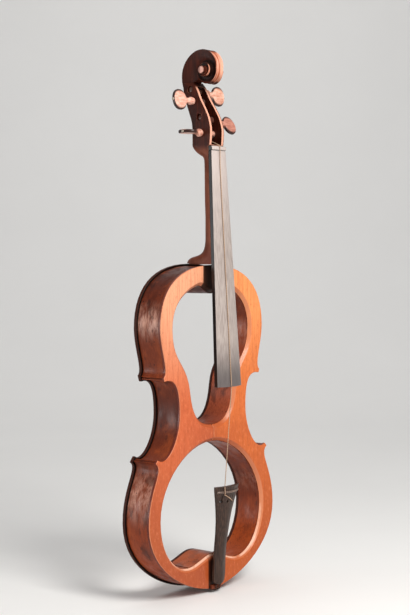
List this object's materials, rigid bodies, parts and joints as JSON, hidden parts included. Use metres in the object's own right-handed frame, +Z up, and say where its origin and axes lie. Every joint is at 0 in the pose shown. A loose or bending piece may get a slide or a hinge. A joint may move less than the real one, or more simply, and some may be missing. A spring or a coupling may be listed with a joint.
{
  "type": "mute violin",
  "caption": "Mute practice violin with an open frame body, two large openings through it, scroll neck, turned pegs, tailpiece and one gut string.",
  "frame": {"origin": "hanging point under the scroll, on the centre plane, where a wall hook carries the violin", "axes": "+Z up along the body towards the scroll, -Y out of the front, +X to the viewer's right"},
  "size_m": [0.2128, 0.067, 0.5945],
  "materials": {
    "front_varnish": "orange varnish, satin, worn at the edges",
    "rib_varnish": "brown varnish with worn pale patches",
    "inner_wall": "brown varnish, dull",
    "block_wood": "bare softwood",
    "neck_varnish": "dark red-brown varnish with worn pale edges",
    "ebony": "polished ebony",
    "peg_wood": "pale polished hardwood",
    "bone": "bone",
    "gut": "gut"
  },
  "bodies": {
    "root": {"back_plate": "front_varnish", "bridge_block": "block_wood", "end_button": "neck_varnish", "fingerboard": "ebony", "front_plate_left": "front_varnish", "front_plate_right": "front_varnish", "lower_block": "block_wood", "lower_corner_block_left": "block_wood", "lower_corner_block_right": "block_wood", "lower_inner_wall": "inner_wall", "lower_rib_left": "rib_varnish", "lower_rib_right": "rib_varnish", "middle_rib_left": "rib_varnish", "middle_rib_right": "rib_varnish", "neck": "neck_varnish", "nut": "ebony", "saddle": "neck_varnish", "string_board": "gut", "string_span": "gut", "tailgut": "gut", "upper_block": "block_wood", "upper_corner_block_left": "block_wood", "upper_corner_block_right": "block_wood", "upper_inner_wall": "inner_wall", "upper_rib_left": "rib_varnish", "upper_rib_right": "rib_varnish"},
    "peg_g": {"peg_g": "peg_wood", "peg_g_pin": "bone", "string_winding": "gut"},
    "peg_d": {"peg_d": "peg_wood", "peg_d_pin": "bone"},
    "peg_a": {"peg_a": "peg_wood", "peg_a_pin": "bone"},
    "peg_e": {"peg_e": "peg_wood", "peg_e_pin": "bone"},
    "tailpiece": {"tailpiece": "ebony", "tailpiece_fret": "ebony", "string_knot": "gut"}
  },
  "joints": [
    {"name": "peg_g_turn", "type": "hinge", "parent": "root", "child": "peg_g", "pos_m": [0, -0.0168, -0.0495], "axis": [1, 0, 0], "continuous": true},
    {"name": "peg_d_turn", "type": "hinge", "parent": "root", "child": "peg_d", "pos_m": [0, -0.004, -0.0139], "axis": [1, 0, 0], "continuous": true},
    {"name": "peg_a_turn", "type": "hinge", "parent": "root", "child": "peg_a", "pos_m": [0, -0.0001, -0.0015], "axis": [0.9929, -0.0566, -0.1043], "continuous": true},
    {"name": "peg_e_turn", "type": "hinge", "parent": "root", "child": "peg_e", "pos_m": [0, -0.015, -0.0333], "axis": [0.988, -0.0692, -0.1383], "continuous": true},
    {"name": "tailpiece_swing", "type": "hinge", "parent": "root", "child": "tailpiece", "pos_m": [0, -0.0284, -0.545], "axis": [1, 0, 0], "range_deg": [-4, 8], "deforming": ["string_span", "tailgut"]}
  ]
}
